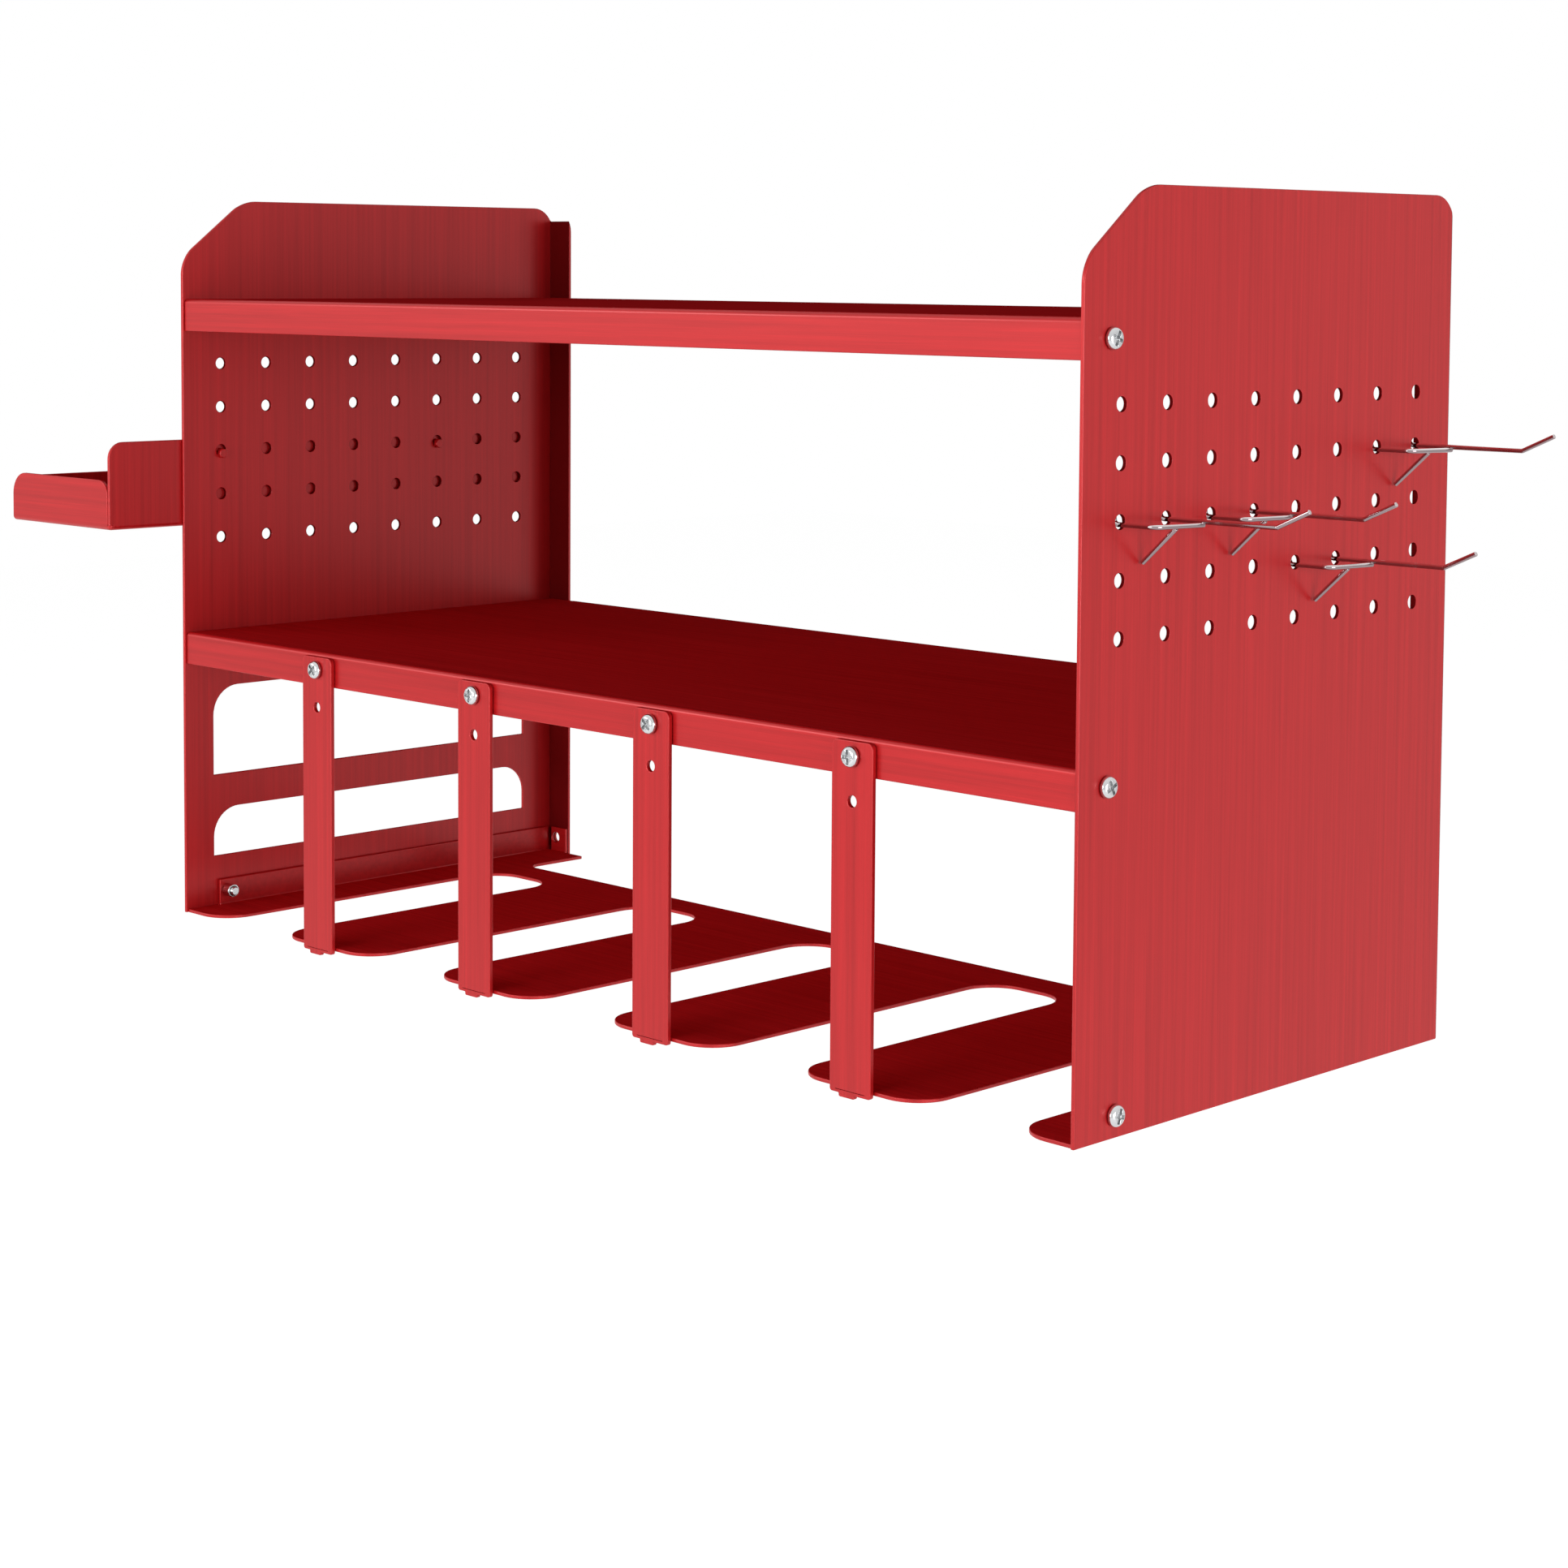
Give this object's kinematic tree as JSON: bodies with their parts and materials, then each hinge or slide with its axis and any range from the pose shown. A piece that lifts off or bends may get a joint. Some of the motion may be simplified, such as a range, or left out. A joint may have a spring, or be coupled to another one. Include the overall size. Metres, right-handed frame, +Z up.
{
  "type": "tool wall rack",
  "caption": "Wall-hung sheet metal tool rack with two shelves, a slotted base that power tool grips hang in, a hook-on side tray and wire peg hooks.",
  "frame": {"origin": "on the wall plane, in the middle of the upper shelf's rear lip", "axes": "+X to the right of someone facing the rack, +Y into the wall, +Z up"},
  "size_m": [0.676, 0.261, 0.3317],
  "materials": {
    "red_paint": "satin powder coat with fine brushed streaks",
    "zinc_steel": "bright zinc plating",
    "chrome_wire": "bright plated wire"
  },
  "bodies": {
    "rack": {"left_panel": "red_paint", "right_panel": "red_paint", "upper_shelf": "red_paint", "lower_shelf": "red_paint", "slotted_base": "red_paint", "front_strap_1": "red_paint", "front_strap_2": "red_paint", "front_strap_3": "red_paint", "front_strap_4": "red_paint", "side_screw_1": "zinc_steel", "side_screw_2": "zinc_steel", "side_screw_3": "zinc_steel", "side_screw_4": "zinc_steel", "side_screw_5": "zinc_steel", "side_screw_6": "zinc_steel", "side_nut_1": "zinc_steel", "side_nut_2": "zinc_steel", "side_nut_3": "zinc_steel", "side_nut_4": "zinc_steel", "side_nut_5": "zinc_steel", "side_nut_6": "zinc_steel", "strap_screw_1": "zinc_steel", "strap_screw_2": "zinc_steel", "strap_screw_3": "zinc_steel", "strap_screw_4": "zinc_steel", "strap_nut_1": "zinc_steel", "strap_nut_2": "zinc_steel", "strap_nut_3": "zinc_steel", "strap_nut_4": "zinc_steel"},
    "side_tray": {"tray": "red_paint"},
    "hook_1": {"peg_hook_1": "chrome_wire"},
    "hook_2": {"peg_hook_2": "chrome_wire"},
    "hook_3": {"peg_hook_3": "chrome_wire"},
    "hook_4": {"peg_hook_4": "chrome_wire"}
  },
  "joints": [
    {"name": "tray_lift", "type": "slide", "parent": "rack", "child": "side_tray", "axis": [0, 0, 1], "range_m": [0, 0.0014]},
    {"name": "hook_1_tilt", "type": "hinge", "parent": "rack", "child": "hook_1", "pos_m": [0.26595, -0.024, -0.04257], "axis": [0, -1, 0], "range_deg": [0, 30]},
    {"name": "hook_2_tilt", "type": "hinge", "parent": "rack", "child": "hook_2", "pos_m": [0.26595, -0.1764, -0.06269], "axis": [0, -1, 0], "range_deg": [0, 30]},
    {"name": "hook_3_tilt", "type": "hinge", "parent": "rack", "child": "hook_3", "pos_m": [0.26595, -0.1256, -0.06269], "axis": [0, -1, 0], "range_deg": [0, 30]},
    {"name": "hook_4_tilt", "type": "hinge", "parent": "rack", "child": "hook_4", "pos_m": [0.26595, -0.0748, -0.08281], "axis": [0, -1, 0], "range_deg": [0, 30]}
  ]
}
